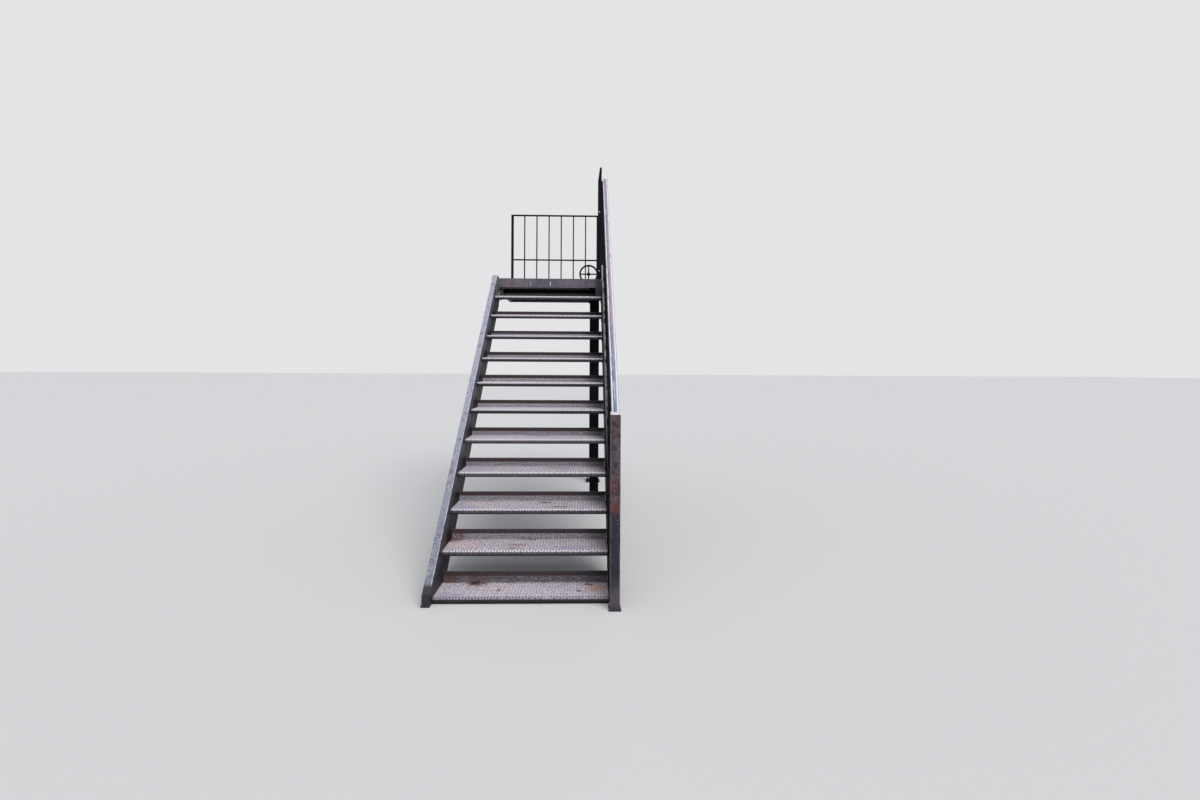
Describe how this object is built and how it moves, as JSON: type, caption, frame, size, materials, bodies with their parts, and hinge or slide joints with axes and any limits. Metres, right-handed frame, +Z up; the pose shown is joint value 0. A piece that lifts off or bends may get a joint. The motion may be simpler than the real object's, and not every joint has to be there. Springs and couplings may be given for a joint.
{
  "type": "exit stair",
  "caption": "Straight steel exit stair with open risers, channel stringers, a small wall-hung landing on posts and a picket guard with a moulded handrail on the open side.",
  "frame": {"origin": "on the wall face of the ledger, at the middle of its length and height", "axes": "+X away from the wall, +Y up the flight, +Z up"},
  "size_m": [1.0215, 3.378, 3.012],
  "materials": {
    "tread_steel": "worn grey paint on chequered plate, edges polished by feet, rust at the back",
    "stringer_paint": "weathered dark grey paint",
    "landing_paint": "weathered dark grey paint with brown streaks",
    "post_paint": "dull blue-black paint",
    "newel_paint": "dark paint with rust-red patches",
    "rail_paint": "worn pale finish, darker in the groove",
    "guard_paint": "dull black paint"
  },
  "bodies": {
    "root": {"left_stringer": "stringer_paint", "right_stringer": "stringer_paint", "tread_01": "tread_steel", "tread_02": "tread_steel", "tread_03": "tread_steel", "tread_04": "tread_steel", "tread_05": "tread_steel", "tread_06": "tread_steel", "tread_07": "tread_steel", "tread_08": "tread_steel", "tread_09": "tread_steel", "tread_10": "tread_steel", "tread_11": "tread_steel", "left_tread_angles": "stringer_paint", "right_tread_angles": "stringer_paint", "left_foot_plate": "stringer_paint", "right_foot_plate": "stringer_paint", "left_head_plate": "stringer_paint", "right_head_angle": "stringer_paint", "wall_ledger": "landing_paint", "landing_front_channel": "landing_paint", "landing_rear_channel": "landing_paint", "landing_right_channel": "landing_paint", "landing_joists": "landing_paint", "landing_deck": "tread_steel", "front_post": "post_paint", "rear_post": "post_paint", "front_post_base": "post_paint", "rear_post_base": "post_paint", "post_top_plates": "post_paint", "lower_newel": "newel_paint", "newel_base": "newel_paint", "newel_cap": "rail_paint", "stair_handrail": "rail_paint", "stair_guard": "guard_paint", "upper_newel": "guard_paint", "corner_newel": "guard_paint", "wall_newel": "guard_paint", "landing_side_guard": "guard_paint", "landing_end_guard": "guard_paint", "guard_ring": "guard_paint", "guard_link": "guard_paint"}
  },
  "joints": []
}
